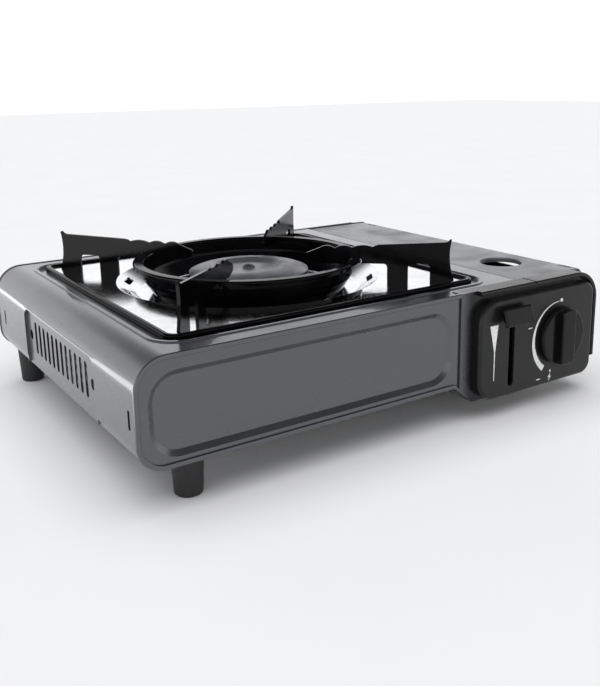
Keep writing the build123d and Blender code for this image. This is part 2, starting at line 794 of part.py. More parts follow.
with BuildPart() as regulator_spring:
    with BuildLine() as coil:
        Helix(
            pitch=1.9,
            height=5.7,
            radius=5.5,
            center=(valve_x[1] + 1.3, *cap_centre),
            direction=(1, 0, 0),
        )
    with BuildSketch(Plane(origin=coil.line @ 0, z_dir=coil.line % 0)):
        Circle(0.45)
    sweep(path=coil.line)
finish(regulator_spring, "regulator_spring")

with BuildPart() as regulator_screws:
    for screw_angle in (45, 135, 225, 315):
        screw_y = cap_centre[0] + 10.9 * math.cos(math.radians(screw_angle))
        screw_z = cap_centre[1] + 10.9 * math.sin(math.radians(screw_angle))
        rod((valve_x[1] + 9.0, screw_y, screw_z), (valve_x[1] + 10.4, screw_y, screw_z), 1.7)
finish(regulator_screws, "regulator_screws")

bracket_face_y = (valve_y[1], valve_y[1] + 1.2)
collar_radius = 15.0
with BuildPart() as regulator_bracket:
    block((99.0, 165.5), bracket_face_y, (18.5, 79.0))
    block((105.6, 161.5), (-118.4, bracket_face_y[1]), (79.0, 80.2))
    rod(
        (can_x, valve_y[1] - 1.0, can_z),
        (can_x, valve_y[1] + 2.0, can_z),
        5.0,
        mode=Mode.SUBTRACT,
    )
finish(regulator_bracket, "regulator_bracket")

collar_y = (bracket_face_y[1], bracket_face_y[1] + 7.8)
with BuildPart() as cartridge_collar:
    rod((can_x, collar_y[0], can_z), (can_x, collar_y[1], can_z), collar_radius)
    rod((can_x, collar_y[0] + 1.6, can_z), (can_x, collar_y[1] + 1.0, can_z), 12.6,
        mode=Mode.SUBTRACT)
    rod((can_x, collar_y[0] - 1.0, can_z), (can_x, collar_y[1], can_z), 5.0,
        mode=Mode.SUBTRACT)
    block((can_x - 2.2, can_x + 2.2), (collar_y[0] + 3.0, collar_y[1] + 1.0),
          (can_z + 10.0, can_z + 18.0), mode=Mode.SUBTRACT)
finish(cartridge_collar, "cartridge_collar")

with BuildPart() as collar_seal:
    rod((can_x, collar_y[0] + 1.6, can_z), (can_x, collar_y[0] + 3.8, can_z), 7.4)
    rod((can_x, collar_y[0], can_z), (can_x, collar_y[0] + 5.0, can_z), 5.0,
        mode=Mode.SUBTRACT)
finish(collar_seal, "collar_seal")

# ---------------------------------------------------------------- knob, spindle and cam
knob_back_y = fascia_front_y - 0.9
skirt_front_y = knob_back_y - 4.0
grip_width = 13.5
with BuildPart() as knob:
    with BuildSketch(facing_front(knob_back_y)):
        with Locations((knob_x, knob_z)):
            Circle(knob_radius)
    extrude(amount=knob_back_y - skirt_front_y)
    fillet(knob.faces().sort_by(Axis.Y)[0].edges(), 1.2)
    with BuildSketch(facing_front(skirt_front_y + 2.0)) as grip:
        with Locations((knob_x, knob_z)):
            Circle(knob_radius - 0.6)
            Rectangle(grip_width, 60, mode=Mode.INTERSECT)
    extrude(grip.sketch, amount=skirt_front_y + 2.0 - knob_front_y, taper=4)
    fillet(knob.faces().sort_by(Axis.Y)[0].edges(), 1.1)
    rod(
        (knob_x, knob_back_y + 1.0, knob_z),
        (knob_x, knob_back_y - 5.0, knob_z),
        spindle_radius,
        mode=Mode.SUBTRACT,
    )
finish(knob, "knob")

cam_y = (-118.5, -114.5)
with BuildPart() as valve_spindle:
    rod((knob_x, knob_back_y - 5.0, knob_z), (knob_x, valve_y[0] + 12.0, knob_z), spindle_radius)
finish(valve_spindle, "valve_spindle")

cam_lobe_radius = 20.5
with BuildPart() as igniter_cam:
    with BuildSketch(facing_front(cam_y[1])):
        with Locations((knob_x, knob_z)):
            Circle(9.0)
        with BuildLine():
            Polyline(
                (knob_x - 6.0, knob_z),
                (knob_x - 3.2, knob_z + cam_lobe_radius - 2.0),
                (knob_x - 1.6, knob_z + cam_lobe_radius),
                (knob_x + 1.6, knob_z + cam_lobe_radius),
                (knob_x + 3.2, knob_z + cam_lobe_radius - 2.0),
                (knob_x + 6.0, knob_z),
                close=True,
            )
        make_face()
        with Locations((knob_x, knob_z)):
            Circle(spindle_radius, mode=Mode.SUBTRACT)
    extrude(amount=cam_y[1] - cam_y[0])
finish(igniter_cam, "igniter_cam")

# ---------------------------------------------------------------- igniter, lead and electrode
igniter_y = -116.5
igniter_z = 25.0
plunger_tip_x = 132.5
igniter_x = (140.0, 166.0)
plunger_radius = 2.4
with BuildPart() as igniter_body:
    block(igniter_x, (igniter_y - 4.3, igniter_y + 4.3), (igniter_z - 4.5, igniter_z + 4.5))
    fillet(igniter_body.edges().filter_by(Axis.X), 1.5)
    rod(
        (igniter_x[0] - 1.0, igniter_y, igniter_z),
        (igniter_x[0] + 14.0, igniter_y, igniter_z),
        plunger_radius + running_gap,
        mode=Mode.SUBTRACT,
    )
finish(igniter_body, "igniter_body")

with BuildPart() as igniter_plunger:
    rod((plunger_tip_x, igniter_y, igniter_z), (igniter_x[0] + 8.0, igniter_y, igniter_z), plunger_radius)
    fillet(igniter_plunger.edges().sort_by(Axis.X)[0], 1.0)
finish(igniter_plunger, "igniter_plunger")

with BuildPart() as igniter_clip:
    block((148.0, 158.0), (igniter_y - 4.5, igniter_y + 4.3), (pan_top_right_z, igniter_z - 4.5))
    block((148.0, 158.0), (igniter_y + 4.3, igniter_y + 5.3), (pan_top_right_z, igniter_z + 5.5))
    block((148.0, 158.0), (igniter_y - 4.5, igniter_y + 5.3), (igniter_z + 4.5, igniter_z + 5.5))
finish(igniter_clip, "igniter_clip")

electrode_radius = 46.4
electrode_place = (burner_x, burner_y - electrode_radius)
lead_radius = 1.3
lead_points = [
    (162.5, igniter_y + 4.3, igniter_z),
    (162.5, -98.0, igniter_z),
    (70.0, -98.0, 27.5),
    (30.0, -92.0, 37.0),
    (-14.0, -66.0, 43.0),
    (burner_x, electrode_place[1], 48.0),
    (*electrode_place, 62.0),
]
with BuildPart() as ignition_lead:
    with BuildLine() as lead_path:
        FilletPolyline(*lead_points, radius=[6.5, 30.0, 40.0, 12.0, 6.0])
    with BuildSketch(Plane(origin=lead_points[0], z_dir=lead_path.wires()[0] % 0)):
        Circle(lead_radius)
    sweep(path=lead_path.wires()[0])
finish(ignition_lead, "ignition_lead")

with BuildPart() as electrode_insulator:
    rod((*electrode_place, 62.0), (*electrode_place, 86.0), 2.3)
    fillet(electrode_insulator.edges().sort_by(Axis.Z)[-1], 0.8)
    rod((*electrode_place, 75.0), (*electrode_place, 87.0), 0.8, mode=Mode.SUBTRACT)
finish(electrode_insulator, "electrode_insulator")

with BuildPart() as spark_electrode:
    with BuildLine() as wire_path:
        FilletPolyline(
            (*electrode_place, 75.0),
            (*electrode_place, 89.6),
            (electrode_place[0], electrode_place[1] + 3.6, 90.2),
            radius=[1.4],
        )
    with BuildSketch(Plane.XY.offset(75.0)):
        with Locations(electrode_place):
            Circle(0.8)
    sweep(path=wire_path.wires()[0])
finish(spark_electrode, "spark_electrode")

with BuildPart() as electrode_bracket:
    block(
        (burner_x - 5.0, burner_x + 5.0),
        (electrode_place[1] - 4.5, electrode_place[1] + 16.4),
        (66.0, 67.2),
    )
    rod((*electrode_place, 65.0), (*electrode_place, 68.0), 2.3, mode=Mode.SUBTRACT)
    with BuildSketch(burner_plane) as bowl_side:
        with BuildLine():
            Polyline((0, 50), (22.0, 60.0), (38.0, 76.0), (0, 76.0), close=True)
        make_face()
    revolve(bowl_side.sketch, axis=burner_axis, mode=Mode.SUBTRACT)
finish(electrode_bracket, "electrode_bracket")

# ---------------------------------------------------------------- cartridge cover and hinge
finger_hole = (138.5, -68.0)
finger_radius = 15.0
cover_flange = 4.0
hinge_gap = 0.8
lug_thickness = 2.0
with BuildPart() as cartridge_cover:
    with BuildSketch(facing_front(cover_y[1])):
        with BuildLine():
            outer_edge = FilletPolyline(
                (cover_x[0], cover_top_z - cover_flange),
                (cover_x[0], cover_top_z),
                (cover_x[1], cover_top_z),
                (cover_x[1], hinge_z),
                radius=[1.6, right_top_radius],
            )
            Line(outer_edge @ 1, (cover_x[1] - sheet, hinge_z))
            inner_edge = FilletPolyline(
                (cover_x[1] - sheet, hinge_z),
                (cover_x[1] - sheet, cover_top_z - sheet),
                (cover_x[0] + sheet, cover_top_z - sheet),
                (cover_x[0] + sheet, cover_top_z - cover_flange),
                radius=[right_top_radius - sheet, 0.6],
            )
            Line(inner_edge @ 1, outer_edge @ 0)
        make_face()
    extrude(amount=cover_y[1] - cover_y[0])
    for flange_y in (cover_y[0], cover_y[1] - sheet):
        block(
            (cover_x[0] + sheet, cover_x[1] - 6.5),
            (flange_y, flange_y + sheet),
            (cover_top_z - cover_flange, cover_top_z - sheet / 2),
        )
    # notches round the two hinge blocks
    for block_y in hinge_block_y:
        block(
            (162.6, 200),
            (block_y - hinge_block_half - hinge_gap, block_y + hinge_block_half + hinge_gap),
            (60, 100),
            mode=Mode.SUBTRACT,
        )
    # rolled edge of the finger hole
    with BuildSketch(Plane.XY.offset(cover_top_z - 3.2)):
        with Locations(finger_hole):
            Circle(finger_radius + sheet)
    extrude(amount=3.0)
    with BuildSketch(Plane.XY.offset(cover_top_z - 5.0)):
        with Locations(finger_hole):
            Circle(finger_radius)
    extrude(amount=10.0, mode=Mode.SUBTRACT)
    fillet(
        cartridge_cover.edges().filter_by(GeomType.CIRCLE)
        .filter_by(lambda edge: abs(edge.radius - finger_radius) < 0.01)
        .sort_by(Axis.Z)[-1],
        0.9,
    )
    # lugs that hang on the hinge pins
    for block_y in hinge_block_y:
        for side in (-1, 1):
            lug_y = block_y + side * (hinge_block_half + hinge_gap + lug_thickness / 2)
            with BuildSketch(facing_front(lug_y + lug_thickness / 2)) as lug:
                with Locations((hinge_x, hinge_z)):
                    Circle(2.3)
                with Locations(((hinge_x + 162.0) / 2, 82.2)):
                    Rectangle(hinge_x - 162.0, 5.2)
                with Locations((hinge_x - 0.25, 81.0)):
                    Rectangle(4.1, 5.4)
            extrude(lug.sketch, amount=lug_thickness)
    rod(
        (hinge_x, cover_y[0], hinge_z),
        (hinge_x, cover_y[1], hinge_z),
        hinge_pin_radius + running_gap,
        mode=Mode.SUBTRACT,
    )
finish(cartridge_cover, "cartridge_cover")

with BuildPart() as hinge_blocks:
    for block_y in hinge_block_y:
        with BuildSketch(facing_front(block_y + hinge_block_half)) as ear:
            with BuildLine():
                FilletPolyline(
                    (164.4, 66.0),
                    (164.4, 85.2),
                    (171.2, 85.2),
                    (171.2, right_wall_top_z),
                    (wall_x - sheet, right_wall_top_z),
                    (wall_x - sheet, 66.0),
                    radius=[0, 2.0, 3.4, 0, 0, 0],
                    close=True,
                )
            make_face()
            with Locations((hinge_x, hinge_z)):
                Circle(hinge_pin_radius, mode=Mode.SUBTRACT)
        extrude(ear.sketch, amount=2 * hinge_block_half)
finish(hinge_blocks, "hinge_blocks")

pin_reach = hinge_block_half + hinge_gap + lug_thickness + 0.4
with BuildPart() as hinge_pins:
    for block_y in hinge_block_y:
        rod((hinge_x, block_y - pin_reach, hinge_z), (hinge_x, block_y + pin_reach, hinge_z), hinge_pin_radius)
finish(hinge_pins, "hinge_pins")

# ---------------------------------------------------------------- fuel lock lever
lever_tilt = math.radians(lever_half_angle)
handle_arc = 78.4                        # the handle's inner face, measured from the pivot
arm_plate_x = (83.4, 86.4)


def from_pivot(radius, degrees):
    """(y, z) of a point at a radius from the lever pivot, towards the front and up."""
    turn = math.radians(degrees)
    return (lever_pivot_y - radius * math.cos(turn), lever_pivot_z + radius * math.sin(turn))


arm_outline = [
    from_pivot(8.0, 110.0),
    from_pivot(handle_arc + 2.0, lever_half_angle + 2.5),
    from_pivot(handle_arc + 2.0, lever_half_angle - 2.5),
    from_pivot(8.0, -75.0),
]
crank_pin = (
    lever_pivot_y + crank_radius * math.sin(lever_tilt),
    lever_pivot_z + crank_radius * math.cos(lever_tilt),
)
with BuildPart() as lever_arm:
    with BuildSketch(Plane.YZ.offset(arm_plate_x[0])) as arm:
        with BuildLine():
            Polyline(*arm_outline, close=True)
        make_face()
        with Locations((lever_pivot_y, lever_pivot_z)):
            Circle(8.0)
        with Locations(crank_pin):
            Circle(3.6)
        with BuildLine():
            Polyline(
                (lever_pivot_y - 7.5, lever_pivot_z + 2.0),
                (crank_pin[0] - 3.6, crank_pin[1]),
                (crank_pin[0] + 3.6, crank_pin[1]),
                (lever_pivot_y + 7.5, lever_pivot_z + 2.0),
                close=True,
            )
        make_face()
        with Locations((lever_pivot_y, lever_pivot_z)):
            Circle(pivot_pin_radius + running_gap, mode=Mode.SUBTRACT)
        with Locations(crank_pin):
            Circle(crank_pin_radius, mode=Mode.SUBTRACT)
    extrude(amount=arm_plate_x[1] - arm_plate_x[0])
finish(lever_arm, "lever_arm")

with BuildPart() as crank_pin_piece:
    rod((arm_plate_x[0], *crank_pin), (91.4, *crank_pin), crank_pin_radius)
finish(crank_pin_piece, "crank_pin")

handle_x = (72.5, 97.5)
handle_outer = handle_arc + 3.6
handle_spread = 4.3                      # half the handle's height, in degrees about the pivot
with BuildPart() as lever_handle:
    with BuildSketch(Plane.YZ.offset(handle_x[0])) as grip_side:
        with BuildLine():
            ThreePointArc(
                from_pivot(handle_arc, lever_half_angle - handle_spread),
                from_pivot(handle_arc, lever_half_angle),
                from_pivot(handle_arc, lever_half_angle + handle_spread),
            )
            Line(
                from_pivot(handle_arc, lever_half_angle + handle_spread),
                from_pivot(handle_outer, lever_half_angle + handle_spread),
            )
            ThreePointArc(
                from_pivot(handle_outer, lever_half_angle + handle_spread),
                from_pivot(handle_outer, lever_half_angle),
                from_pivot(handle_outer, lever_half_angle - handle_spread),
            )
            Line(
                from_pivot(handle_outer, lever_half_angle - handle_spread),
                from_pivot(handle_arc, lever_half_angle - handle_spread),
            )
        make_face()
    extrude(amount=handle_x[1] - handle_x[0])
    fillet(lever_handle.edges(), 1.5)
    with BuildSketch(Plane.YZ.offset(arm_plate_x[0])) as socket:
        with BuildLine():
            Polyline(*arm_outline, close=True)
        make_face()
    extrude(socket.sketch, amount=arm_plate_x[1] - arm_plate_x[0], mode=Mode.SUBTRACT)
finish(lever_handle, "lever_handle")

lever_bracket_x = (78.0, 88.3)
with BuildPart() as lever_bracket:
    block(lever_bracket_x, (lever_pivot_y - 10, lever_pivot_y + 10), (pan_top_right_z, 53.0))
    block(
        (lever_bracket_x[0] + 1.2, lever_bracket_x[1] - 1.2),
        (-200, 200),
        (pan_top_right_z + 1.2, 100),
        mode=Mode.SUBTRACT,
    )
    rod((70, lever_pivot_y, lever_pivot_z), (100, lever_pivot_y, lever_pivot_z), pivot_pin_radius,
        mode=Mode.SUBTRACT)
finish(lever_bracket, "lever_bracket")

with BuildPart() as lever_pivot_pin:
    rod((76.8, lever_pivot_y, lever_pivot_z), (88.3, lever_pivot_y, lever_pivot_z), pivot_pin_radius)
    rod((76.0, lever_pivot_y, lever_pivot_z), (78.0, lever_pivot_y, lever_pivot_z), 3.4)
finish(lever_pivot_pin, "lever_pivot_pin")

# ---------------------------------------------------------------- cartridge carriage
carriage_z = (15.2, 16.4)
rail_x = (89.0, 90.2)
carriage_y = (-40.0, 122.0)
fork_half = 8.0
fork_gap = 2.3                           # half the width of the fork's slot
with BuildPart() as carriage:
    block((rail_x[0], 164.0), carriage_y, carriage_z)
    block(rail_x, (crank_pin[0] - fork_half, carriage_y[1]), (carriage_z[0], 33.0))
    block(rail_x, (crank_pin[0] - fork_half, crank_pin[0] + fork_half), (30.0, crank_pin[1] + 3.4))
    block(
        (80, 95),
        (crank_pin[0] - fork_gap, crank_pin[0] + fork_gap),
        (crank_pin[1] - 5.0, 100),
        mode=Mode.SUBTRACT,
    )
    block((112.0, 160.0), (carriage_y[1] - 1.2, carriage_y[1]), (carriage_z[0], 72.0))
    with BuildSketch(Plane.XY.offset(carriage_z[0] - 1.0)):
        with Locations((can_x - 4.0, 36.0)):
            with GridLocations(0, 36.0, 1, 3):
                SlotOverall(30.0, 12.0)
    extrude(amount=4.0, mode=Mode.SUBTRACT)
    for guide_x in (can_x - 12.0, can_x + 12.0):
        rod((guide_x, 110, can_z), (guide_x, 130, can_z), 1.56, mode=Mode.SUBTRACT)
finish(carriage, "carriage")

pusher_y = (111.6, 112.8)
pusher_travel = 2.5
with BuildPart() as pusher_plate:
    with BuildSketch(facing_front(pusher_y[1])):
        with Locations((can_x, can_z)):
            Circle(24.0)
            Rectangle(60.0, 30.0, mode=Mode.INTERSECT)
    extrude(amount=pusher_y[1] - pusher_y[0])
finish(pusher_plate, "pusher_plate")

with BuildPart() as pusher_pins:
    for guide_x in (can_x - 12.0, can_x + 12.0):
        rod((guide_x, pusher_y[1], can_z), (guide_x, 125.0, can_z), 1.5)
finish(pusher_pins, "pusher_pins")

with BuildPart() as pusher_springs:
    for guide_x in (can_x - 12.0, can_x + 12.0):
        with BuildLine() as coil:
            Helix(
                pitch=1.4,
                height=carriage_y[1] - pusher_y[1] - pusher_travel - 2.6,
                radius=3.4,
                center=(guide_x, pusher_y[1] + pusher_travel + 0.6, can_z),
                direction=(0, 1, 0),
            )
        with BuildSketch(Plane(origin=coil.line @ 0, z_dir=coil.line % 0)) as wire:
            Circle(0.45)
        sweep(wire.sketch, path=coil.line)
finish(pusher_springs, "pusher_springs")

guide_y = (0.0, 84.0)
with BuildPart() as carriage_guides:
    for guide_centre in guide_y:
        block((165.0, 166.2), (guide_centre - 8, guide_centre + 8), (18.0, 18.0 + 1.2))
        block((161.0, 166.2), (guide_centre - 8, guide_centre + 8), (16.9, 18.1))
        block((165.0, 166.2), (guide_centre - 8, guide_centre + 8), (pan_top_right_z + 0.6, 18.0))
finish(carriage_guides, "carriage_guides")
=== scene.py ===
import json
import math

import bmesh
import bpy
from mathutils import Matrix, Vector


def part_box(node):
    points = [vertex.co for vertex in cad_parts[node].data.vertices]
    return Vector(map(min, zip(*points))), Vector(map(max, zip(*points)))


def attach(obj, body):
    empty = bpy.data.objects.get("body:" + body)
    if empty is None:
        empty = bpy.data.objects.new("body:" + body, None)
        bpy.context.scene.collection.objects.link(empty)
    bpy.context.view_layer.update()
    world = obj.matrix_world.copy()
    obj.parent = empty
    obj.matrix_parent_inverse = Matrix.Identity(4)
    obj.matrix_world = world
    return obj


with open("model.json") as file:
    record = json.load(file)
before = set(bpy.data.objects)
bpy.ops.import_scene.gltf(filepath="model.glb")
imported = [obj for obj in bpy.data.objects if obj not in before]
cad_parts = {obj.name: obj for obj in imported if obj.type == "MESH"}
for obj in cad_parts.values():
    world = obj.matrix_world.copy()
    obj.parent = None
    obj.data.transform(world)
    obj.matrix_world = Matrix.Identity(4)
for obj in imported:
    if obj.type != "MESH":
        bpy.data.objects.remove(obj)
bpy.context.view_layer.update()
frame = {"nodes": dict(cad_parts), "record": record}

nodes = frame["nodes"]
MM = 0.001
REFLECTION_FADE_LENGTH = 10.0 * MM            # over which the surround's grey turns into the painted dark reflection
EDGE_BEVEL = 0.15 * MM
EDGE_ANGLE = math.radians(32)      # edges sharper than this are softened
SAME_POINT = 0.01 * MM
FLOOR_HALF_SIZE = 6.0
FLOOR_DROP = 0.2 * MM
CEILING_STARTS = 0.32              # height of a direction where the sweep begins to darken
CEILING_FULL = 0.50
SWEEP_COLOUR = (1.2, 1.2, 1.21, 1.0)
CEILING_COLOUR = (0.10, 0.105, 0.12, 1.0)


# ---------------------------------------------------------------- shader building
class Paint:
    """A node material under construction, with object coordinates in metres."""

    def __init__(self, name):
        self.material = bpy.data.materials.new(name)
        self.material.use_nodes = True
        self.tree = self.material.node_tree
        self.shader = self.tree.nodes["Principled BSDF"]
        self.place = self.tree.nodes.new("ShaderNodeTexCoord").outputs["Object"]
        self.last_bump = None

    def node(self, kind, **settings):
        made = self.tree.nodes.new("ShaderNode" + kind)
        for key, value in settings.items():
            setattr(made, key, value)
        return made

    def join(self, source, target):
        self.tree.links.new(source, target)

    def stretched(self, scale):
        """Object coordinates stretched by a scale on each axis."""
        mapping = self.node("Mapping")
        mapping.inputs["Scale"].default_value = scale
        self.join(self.place, mapping.inputs["Vector"])
        return mapping.outputs["Vector"]

    def noise(self, scale, detail=3.0, rough=0.55, stretch=None, distortion=0.0):
        """Fractal noise, stretched by a scale on each axis if one is given."""
        made = self.node("TexNoise")
        made.inputs["Scale"].default_value = scale
        made.inputs["Detail"].default_value = detail
        made.inputs["Roughness"].default_value = rough
        made.inputs["Distortion"].default_value = distortion
        self.join(self.stretched(stretch) if stretch else self.place, made.inputs["Vector"])
        return made.outputs["Fac"]

    def cells(self, scale):
        """Distance to the nearest of scattered points."""
        made = self.node("TexVoronoi")
        made.inputs["Scale"].default_value = scale
        self.join(self.place, made.inputs["Vector"])
        return made.outputs["Distance"]

    def remap(self, value, low, high, out_low, out_high):
        """Value moved from one range to another."""
        made = self.node("MapRange")
        for key, number in (
            ("From Min", low), ("From Max", high), ("To Min", out_low), ("To Max", out_high)
        ):
            made.inputs[key].default_value = number
        self.join(value, made.inputs["Value"])
        return made.outputs["Result"]

    def sum(self, first, second):
        """Sum of two values, kept within 0 and 1."""
        made = self.node("Math", operation="ADD", use_clamp=True)
        self.join(first, made.inputs[0])
        self.join(second, made.inputs[1])
        return made.outputs[0]

    def mix(self, factor, first, second):
        """Colour between two colours, each a socket or an RGB tuple."""
        made = self.node("Mix", data_type="RGBA")
        self.join(factor, made.inputs["Factor"])
        for socket, value in ((made.inputs[6], first), (made.inputs[7], second)):
            if isinstance(value, tuple):
                socket.default_value = (*value, 1.0)
            else:
                self.join(value, socket)
        return made.outputs[2]

    def bump(self, height, strength, distance):
        """Bump laid over any bump already there."""
        made = self.node("Bump")
        made.inputs["Strength"].default_value = strength
        made.inputs["Distance"].default_value = distance
        self.join(height, made.inputs["Height"])
        if self.last_bump is not None:
            self.join(self.last_bump, made.inputs["Normal"])
        self.last_bump = made.outputs["Normal"]
        return self

    def finish(self, colour, roughness, **fixed):
        """Connect colour, roughness and bump, and set even values on the shader itself."""
        if isinstance(colour, tuple):
            self.shader.inputs["Base Color"].default_value = (*colour, 1.0)
        else:
            self.join(colour, self.shader.inputs["Base Color"])
        self.join(roughness, self.shader.inputs["Roughness"])
        if self.last_bump is not None:
            self.join(self.last_bump, self.shader.inputs["Normal"])
        for key, value in fixed.items():
            self.shader.inputs[key.replace("_", " ")].default_value = value
        return self.material


# ---------------------------------------------------------------- materials
def metallic_paint(name, dark, light, rough_low, rough_high, metal, coat, coat_rough):
    """Stoved metallic paint: flake, faint clouds, orange peel and light handling marks."""
    paint = Paint(name)
    flake = paint.noise(2600.0, detail=1.0)
    clouds = paint.noise(14.0, detail=5.0)
    peel = paint.noise(420.0, detail=2.0)
    smears = paint.noise(60.0, detail=6.0, rough=0.7, stretch=(0.25, 0.4, 1.2))
    tone = paint.mix(paint.remap(flake, 0.35, 0.65, 0.0, 1.0), dark, light)
    shaded = paint.mix(paint.remap(clouds, 0.35, 0.7, 0.0, 0.3), tone, dark)
    roughness = paint.sum(
        paint.remap(smears, 0.35, 0.7, rough_low, rough_high),
        paint.remap(clouds, 0.3, 0.7, 0.0, 0.05),
    )
    paint.bump(peel, 0.035, 0.0004)
    return paint.finish(
        shaded,
        roughness,
        Metallic=metal,
        Coat_Weight=coat,
        Coat_Roughness=coat_rough,
    )


def surround_paint_with_painted_reflection():
    """Body paint whose colour turns near-black towards the black fascia: a painted dark reflection.
    """
    paint = Paint("surround_paint_painted_reflection")
    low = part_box("control_surround")[0]
    axes = paint.node("SeparateXYZ")
    paint.join(paint.place, axes.inputs[0])
    patch = paint.noise(30.0, detail=4.0)
    peel = paint.noise(420.0, detail=2.0)
    # Along X the grey body colour fades into near-black: a painted dark reflection towards the
    # fascia
    reflection_fade = paint.node("MapRange", interpolation_type="SMOOTHSTEP")
    reflection_fade.inputs["From Min"].default_value = low.x
    reflection_fade.inputs["From Max"].default_value = low.x + REFLECTION_FADE_LENGTH
    paint.join(axes.outputs["X"], reflection_fade.inputs["Value"])
    # near-black colour of the painted dark reflection, with random patches
    black = paint.mix(
        paint.remap(patch, 0.4, 0.7, 0.0, 1.0), (0.007, 0.007, 0.008), (0.011, 0.011, 0.012)
    )
    colour = paint.mix(reflection_fade.outputs["Result"], (0.100, 0.104, 0.114), black)
    metal = paint.remap(reflection_fade.outputs["Result"], 0.0, 1.0, 0.85, 0.0)
    paint.join(metal, paint.shader.inputs["Metallic"])
    paint.bump(peel, 0.035, 0.0004)
    return paint.finish(colour, paint.remap(patch, 0.3, 0.7, 0.18, 0.3), Specular_IOR_Level=0.3)


def mottled_cover_paint():
    """Satin gunmetal of the cartridge cover, smudged by handling along its length."""
    paint = Paint("cover_paint")
    streaks = paint.noise(46.0, detail=7.0, rough=0.68, stretch=(1.0, 0.45, 1.0), distortion=0.8)
    patches = paint.noise(19.0, detail=4.0, distortion=1.4)
    grain = paint.noise(900.0, detail=2.0)
    base = paint.mix(
        paint.remap(streaks, 0.38, 0.62, 0.0, 1.0), (0.125, 0.129, 0.138), (0.185, 0.190, 0.202)
    )
    colour = paint.mix(paint.remap(patches, 0.5, 0.72, 0.0, 0.5), base, (0.075, 0.078, 0.085))
    roughness = paint.sum(
        paint.remap(streaks, 0.3, 0.7, 0.24, 0.4), paint.remap(patches, 0.4, 0.7, 0.0, 0.14)
    )
    paint.bump(grain, 0.08, 0.0002).bump(streaks, 0.04, 0.0006)
    return paint.finish(colour, roughness, Metallic=0.5, Coat_Weight=0.25, Coat_Roughness=0.3)


def moulded_plastic(name, colour, rough_low, rough_high, grain_scale, grain_strength, gloss=0.5):
    """Injection-moulded plastic with a fine spark-eroded grain and faint wipe marks."""
    paint = Paint(name)
    grain = paint.noise(grain_scale, detail=3.0, rough=0.6)
    wipes = paint.noise(38.0, detail=5.0, rough=0.7, stretch=(1.0, 1.0, 0.3))
    lighter = tuple(min(1.0, value * 1.35 + 0.002) for value in colour)
    tone = paint.mix(paint.remap(wipes, 0.4, 0.7, 0.0, 1.0), colour, lighter)
    roughness = paint.remap(wipes, 0.3, 0.7, rough_low, rough_high)
    paint.bump(grain, grain_strength, 0.00015)
    return paint.finish(tone, roughness, Specular_IOR_Level=gloss)


def vitreous_enamel():
    """Gloss black enamel fired on steel: deep, slightly wavy, with pinholes and soot haze."""
    paint = Paint("black_enamel")
    waves = paint.noise(130.0, detail=2.0)
    haze = paint.noise(30.0, detail=6.0, rough=0.65)
    pits = paint.cells(700.0)
    colour = paint.mix(
        paint.remap(haze, 0.45, 0.75, 0.0, 1.0), (0.002, 0.002, 0.0025), (0.006, 0.006, 0.007)
    )
    roughness = paint.sum(
        paint.remap(haze, 0.35, 0.75, 0.06, 0.2), paint.remap(pits, 0.0, 0.08, 0.12, 0.0)
    )
    paint.bump(waves, 0.06, 0.0006).bump(pits, 0.03, 0.0001)
    return paint.finish(colour, roughness, Specular_IOR_Level=0.1)


def polished_tray():
    """Bright pressed steel, polished in circles round the burner, faintly smudged."""
    paint = Paint("tray_steel")
    low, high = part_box("drip_tray")
    centre = (low + high) / 2
    mapping = paint.node("Mapping")
    mapping.inputs["Location"].default_value = (-centre.x, -centre.y, 0.0)
    paint.join(paint.place, mapping.inputs["Vector"])
    rings = paint.node("TexWave", wave_type="RINGS", rings_direction="Z")
    rings.inputs["Scale"].default_value = 420.0
    rings.inputs["Distortion"].default_value = 6.0
    rings.inputs["Detail"].default_value = 4.0
    paint.join(mapping.outputs["Vector"], rings.inputs["Vector"])
    smudge = paint.noise(26.0, detail=6.0, rough=0.7)
    dents = paint.noise(17.0, detail=1.0)
    colour = paint.mix(
        paint.remap(smudge, 0.4, 0.75, 0.0, 1.0), (0.80, 0.81, 0.82), (0.62, 0.63, 0.645)
    )
    roughness = paint.sum(
        paint.remap(smudge, 0.35, 0.75, 0.05, 0.16),
        paint.remap(rings.outputs["Fac"], 0.0, 1.0, 0.0, 0.05),
    )
    paint.bump(rings.outputs["Fac"], 0.015, 0.0001).bump(dents, 0.08, 0.001)
    return paint.finish(colour, roughness, Metallic=1.0)


def plain_metal(name, dark, light, rough_low, rough_high, grain, bump):
    """Bare or plated metal with fine grain and a little tarnish."""
    paint = Paint(name)
    fine = paint.noise(grain, detail=3.0)
    tarnish = paint.noise(55.0, detail=5.0, rough=0.65)
    colour = paint.mix(paint.remap(tarnish, 0.35, 0.75, 0.0, 1.0), light, dark)
    roughness = paint.sum(
        paint.remap(fine, 0.3, 0.7, rough_low, rough_high), paint.remap(tarnish, 0.4, 0.8, 0.0, 0.12)
    )
    paint.bump(fine, bump, 0.0002)
    return paint.finish(colour, roughness, Metallic=1.0)


def rubber(name, colour):
    """Matt moulded rubber with a dusty bloom."""
    paint = Paint(name)
    grain = paint.noise(650.0, detail=4.0)
    bloom = paint.noise(70.0, detail=6.0, rough=0.7)
    lighter = tuple(value * 1.8 + 0.01 for value in colour)
    tone = paint.mix(paint.remap(bloom, 0.5, 0.85, 0.0, 1.0), colour, lighter)
    paint.bump(grain, 0.2, 0.0002)
    return paint.finish(tone, paint.remap(bloom, 0.3, 0.8, 0.55, 0.8))


def printed_ink():
    """White pad-printed ink, very slightly uneven."""
    paint = Paint("print_white")
    patch = paint.noise(900.0, detail=3.0)
    colour = paint.mix(
        paint.remap(patch, 0.4, 0.75, 0.0, 1.0), (0.84, 0.84, 0.84), (0.62, 0.62, 0.62)
    )
    paint.bump(patch, 0.1, 0.00005)
    return paint.finish(colour, paint.remap(patch, 0.3, 0.7, 0.4, 0.6))


